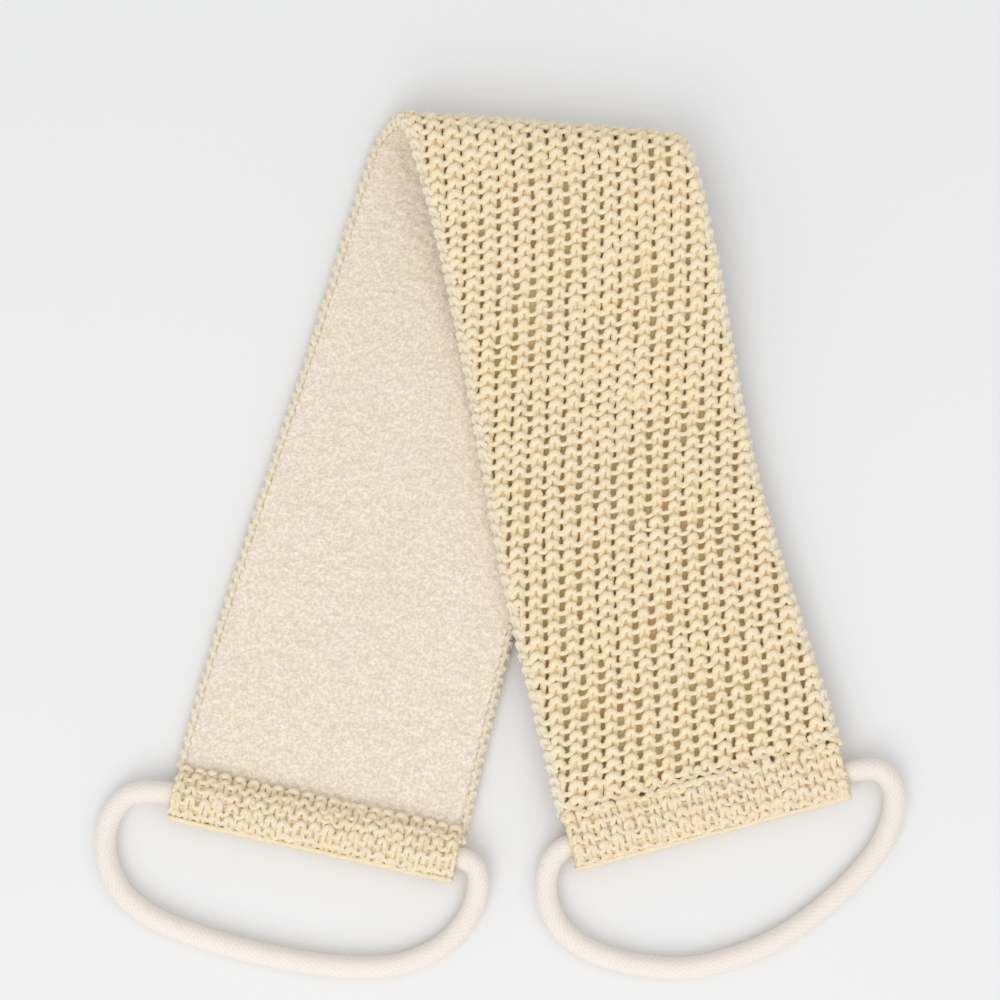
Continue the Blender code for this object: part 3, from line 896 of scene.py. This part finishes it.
class Finish:
    """A material and the nodes that make it."""

    def __init__(self, name, roughness, sheen=0.0):
        self.material = bpy.data.materials.new(name)
        self.material.use_nodes = True
        self.tree = self.material.node_tree
        self.shader = self.tree.nodes["Principled BSDF"]
        self.shader.inputs["Roughness"].default_value = roughness
        self.shader.inputs["Specular IOR Level"].default_value = 0.25
        self.shader.inputs["Sheen Weight"].default_value = sheen
        self.shader.inputs["Sheen Roughness"].default_value = 0.6

    def put(self, socket, value):
        if isinstance(value, Value):
            self.tree.links.new(value.socket, socket)
        elif isinstance(value, bpy.types.NodeSocket):
            self.tree.links.new(value, socket)
        elif isinstance(value, tuple) and len(value) == 3 and socket.type == "RGBA":
            socket.default_value = (*value, 1.0)
        else:
            socket.default_value = value

    def node(self, kind, settings, inputs):
        """Adds a node, sets it up, feeds it and returns its outputs by name."""
        node = self.tree.nodes.new(kind)
        for label, value in settings.items():
            setattr(node, label, value)
        for label, value in inputs.items():
            self.put(node.inputs[label], value)
        return {out.name: Value(self, out) for out in node.outputs if out.enabled}

    def attribute(self, label):
        return self.node("ShaderNodeAttribute", {"attribute_name": label}, {})

    def noise(self, vector, scale, detail=2.0, roughness=0.5):
        inputs = {"Vector": vector, "Scale": scale, "Detail": detail, "Roughness": roughness}
        return self.node("ShaderNodeTexNoise", {}, inputs)["Fac"]

    def stretch(self, vector, factors):
        return self.node("ShaderNodeVectorMath", {"operation": "MULTIPLY"}, {0: vector, 1: factors})["Vector"]

    def blend(self, factor, a, b):
        inputs = {"Factor": factor, "A": a, "B": b}
        node = self.tree.nodes.new("ShaderNodeMix")
        node.data_type = "RGBA"
        for socket in node.inputs:
            if socket.enabled and socket.name in inputs:
                self.put(socket, inputs[socket.name])
        return Value(self, next(out for out in node.outputs if out.enabled))

    def spread(self, value, low, high):
        """The value's share of the way from low to high, kept to 0 to 1 and eased."""
        settings = {"interpolation_type": "SMOOTHSTEP"}
        inputs = {"Value": value, "From Min": low, "From Max": high}
        return self.node("ShaderNodeMapRange", settings, inputs)["Result"]

    def colour(self, value):
        self.put(self.shader.inputs["Base Color"], value)

    def bump(self, height, strength, distance):
        inputs = {"Height": height, "Strength": strength, "Distance": distance}
        self.put(self.shader.inputs["Normal"], self.node("ShaderNodeBump", {}, inputs)["Normal"])


# Each yarn's light and warm colours, its flecks, and the colour of its painted shade deep between the loops.
FLECK = (0.78, 0.65, 0.42)
STRAW_COLOURS = ((0.98, 0.84, 0.56), (0.99, 0.845, 0.61), FLECK, (0.88, 0.72, 0.45))
EDGE_COLOURS = ((0.93, 0.83, 0.66), (0.94, 0.84, 0.70), FLECK, (0.76, 0.68, 0.48))
HEM_COLOURS = ((0.95, 0.81, 0.57), (0.95, 0.815, 0.62), FLECK, (0.76, 0.60, 0.36))


def yarn_finish(name, light, warm, fleck, painted_shade_colour, painted_shade_weight):
    """Spun plant-fibre yarn: streaks and flecks along it, and painted shade deep between the loops and on
    each yarn's side that faces into the knit.
    """
    finish = Finish(name, 0.85, sheen=0.3)
    place = finish.attribute("yarn_place")["Vector"]
    tint = finish.attribute("tint")["Fac"]
    depth = finish.attribute("depth")["Fac"]
    streaks = finish.noise(finish.stretch(place, (450.0, 2600.0, 2600.0)), 1.0, detail=3.0)
    patches = finish.noise(finish.stretch(place, (90.0, 200.0, 200.0)), 1.0)
    flecks = finish.noise(finish.stretch(place, (900.0, 1300.0, 1300.0)), 1.0, detail=1.0)
    base = finish.blend(finish.spread(patches + 0.25 * tint, 0.25, 0.85), light, warm)
    base = finish.blend(finish.spread(streaks, 0.35, 0.75) * 0.40, base, fleck)
    base = finish.blend(finish.spread(flecks, 0.55, 0.72) * 0.55, base, fleck)
    # Painted shade: the colour darkens where the yarn lies deep in the knit and on its side that faces into
    # the knit.
    down = 1 - finish.spread(depth + 0.5 * streaks, -0.9, 0.75)
    finish.colour(finish.blend(down * painted_shade_weight, base, painted_shade_colour))
    finish.bump(streaks + 0.6 * flecks, 0.6, 0.25 * MM)
    return finish.material


def terry_finish():
    """Cream cotton terry with a faint pink and straw cast. Its ochre back shows through the knit."""
    finish = Finish("terry_cloth", 0.95, sheen=0.35)
    place = finish.attribute("cloth_place")["Vector"]
    nap = finish.attribute("nap")["Fac"]
    free = finish.attribute("free_face")["Fac"]
    curls = finish.noise(place, 1500.0, detail=3.0, roughness=0.65)
    grain = finish.noise(place, 850.0, detail=2.0, roughness=0.7)
    cast = finish.noise(place, 45.0)
    base = finish.blend(finish.spread(cast, 0.35, 0.65), (0.985, 0.870, 0.750), (0.980, 0.875, 0.715))
    shade = (1 - finish.spread(nap + 1.2 * curls, -0.5, 1.1)) * 0.25
    base = finish.blend(shade, base, (0.70, 0.58, 0.44))
    base = finish.blend((1 - finish.spread(grain, 0.42, 0.60)) * 0.45, base, (0.66, 0.52, 0.38))
    hues = finish.noise(place, 60.0)
    back = finish.blend(finish.spread(hues, 0.40, 0.60), (0.97, 0.74, 0.28), (0.98, 0.61, 0.27))
    back = finish.blend(finish.spread(finish.noise(place, 110.0), 0.45, 0.62), back, (0.93, 0.86, 0.54))
    back = finish.blend(finish.spread(curls, 0.3, 0.8), back, (0.98, 0.86, 0.56))
    finish.colour(finish.blend(finish.spread(free, 0.2, 0.8), back, base))
    finish.bump(curls + grain, 0.7, 0.4 * MM)
    return finish.material


def cord_finish():
    """A smooth braided cotton cover, with painted shade in the grooves between its strands."""
    finish = Finish("cotton_cover", 0.8, sheen=0.2)
    place = finish.attribute("yarn_place")["Vector"]
    braid = finish.attribute("braid")["Fac"]
    threads = finish.noise(finish.stretch(place, (2400.0, 600.0, 600.0)), 1.0, detail=2.0)
    cast = finish.noise(place, 70.0)
    base = finish.blend(finish.spread(cast, 0.35, 0.65), (0.91, 0.835, 0.765), (0.90, 0.84, 0.755))
    # Painted shade: darker where the braid's surface dips between its strands.
    base = finish.blend((1 - finish.spread(braid, 0.0, 0.5)) * 0.28, base, (0.66, 0.59, 0.51))
    finish.colour(finish.blend(finish.spread(threads, 0.35, 0.8) * 0.22, base, (0.70, 0.61, 0.52)))
    finish.bump(threads, 0.4, 0.15 * MM)
    return finish.material


def sleeve_finish():
    """The moulded sleeve over each cord's joint."""
    finish = Finish("clear_sleeve", 0.45)
    spots = finish.noise(finish.node("ShaderNodeTexCoord", {}, {})["Object"], 300.0)
    finish.colour(finish.blend(finish.spread(spots, 0.3, 0.7), (0.80, 0.80, 0.76), (0.70, 0.70, 0.66)))
    return finish.material


def dress(obj, material):
    """Gives a piece its material."""
    obj.data.materials.clear()
    obj.data.materials.append(material)
    return obj


# ---- Studio ----


def make_camera():
    """A long lens, almost straight above."""
    data = bpy.data.cameras.new("camera")
    data.lens = LENS
    data.sensor_width = SENSOR
    data.clip_start = 0.01
    data.clip_end = 50.0
    camera = bpy.data.objects.new("camera", data)
    back = Vector((0.0, -cos(CAMERA_ELEVATION), sin(CAMERA_ELEVATION)))
    camera.location = AIM + CAMERA_DISTANCE * back
    camera.rotation_euler = back.to_track_quat("Z", "Y").to_euler()
    bpy.context.scene.collection.objects.link(camera)
    bpy.context.scene.camera = camera


def make_studio():
    """A pale floor and backdrop, lit evenly by the sky and by two soft boxes."""
    world = bpy.data.worlds.new("studio")
    world.use_nodes = True
    bpy.context.scene.world = world
    nodes, links = world.node_tree.nodes, world.node_tree.links
    seen = nodes.new("ShaderNodeLightPath")
    sky = nodes["Background"]
    sky.inputs["Color"].default_value = SKY_COLOUR
    backdrop = nodes.new("ShaderNodeBackground")
    backdrop.inputs["Color"].default_value = BACKDROP_COLOUR
    mix = nodes.new("ShaderNodeMixShader")
    links.new(seen.outputs["Is Camera Ray"], mix.inputs[0])
    links.new(sky.outputs[0], mix.inputs[1])
    links.new(backdrop.outputs[0], mix.inputs[2])
    links.new(mix.outputs[0], nodes["World Output"].inputs["Surface"])
    for place, size, power in SOFT_BOXES:
        data = bpy.data.lights.new("softbox", "AREA")
        data.size = size
        data.energy = power
        lamp = bpy.data.objects.new("softbox", data)
        lamp.location = place
        lamp.rotation_euler = Vector(place).to_track_quat("Z", "Y").to_euler()
        bpy.context.scene.collection.objects.link(lamp)
    bpy.ops.object.select_all(action="DESELECT")
    bpy.ops.mesh.primitive_plane_add(size=FLOOR_SIZE, location=(0.0, 0.0, FLOOR_LEVEL))
    floor = bpy.context.active_object
    floor.name = "floor"
    paper = Finish("studio_paper", 1.0)
    paper.shader.inputs["Base Color"].default_value = FLOOR_COLOUR
    floor.data.materials.append(paper.material)
    bpy.context.scene.view_settings.view_transform = "Standard"


# ---- The whole object ----


def blend_over_fold(obj, name):
    """Bakes a strap piece's placement into its mesh."""
    foot = np.array((*HALVES[name]["start"], LOWER_HEIGHT if name == "lower" else FOLD_TOP_HEIGHT))
    if name == "lower":
        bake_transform(obj)
    else:
        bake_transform(obj)


def stand_for(obj, name, layer):
    """The piece replaces its layer of one half, and the lower half's piece the fold's layer too."""
    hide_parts(f"{name}_{layer}")
    if name == "lower":
        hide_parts(f"fold_{layer}")
    blend_over_fold(obj, name)


def dress_hem(name, seed, finish):
    """A half's hem casing and the thread that closes it: both ride on the half."""
    casing = dress(hem_knit(name, seed + 70), finish)
    thread = dress(hem_stitches(name, seed + 80), finish)
    for obj, piece in ((casing, "hem_casing"), (thread, "hem_thread")):
        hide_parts(f"{name}_{piece}")
        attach(obj, f"{name}_half")


def dress_strap(name, knit, lining, rolls, finishes):
    """A half's layers, which take the place of the half's own and bend over the fold."""
    stand_for(dress(knit, finishes["straw"]), name, "knit")
    stand_for(dress(lining, finishes["terry"]), name, "terry_lining")
    for side, roll in rolls.items():
        stand_for(dress(roll, finishes["edge"]), name, f"{side}_edge_roll")


def dress_handle(name, cord, finishes):
    """A handle's cord, and the sleeve over its joint."""
    dress(cord, finishes["cover"])
    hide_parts(f"{name}_handle_cord")
    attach(cord, f"{name}_handle")
    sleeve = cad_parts[f"{name}_cord_sleeve"]
    sleeve.data.materials.clear()
    sleeve.data.materials.append(finishes["sleeve"])


def main():
    make_camera()
    cords = {name: make_cord(name) for name in HALVES}
    make_studio()
    finishes = {
        "straw": yarn_finish("straw_yarn", *STRAW_COLOURS, 0.5),
        "edge": yarn_finish("edge_yarn", *EDGE_COLOURS, 0.6),
        "hem": yarn_finish("hem_yarn", *HEM_COLOURS, 0.6),
        "terry": terry_finish(),
        "cover": cord_finish(),
        "sleeve": sleeve_finish(),
    }
    knits = strap_knit(10)
    rolls = {"left": edge_rolls("left", 30), "right": edge_rolls("right", 40)}
    for number, name in enumerate(HALVES):
        seed = 100 * (number + 1)
        lining = strap_lining(name, seed + 20)
        dress_strap(name, knits[name], lining, {side: pair[name] for side, pair in rolls.items()}, finishes)
        dress_hem(name, seed, finishes["hem"])
        dress_handle(name, cords[name], finishes)


for half in HALVES.values():
    trace_half(half)
main()

bpy.context.view_layer.update()
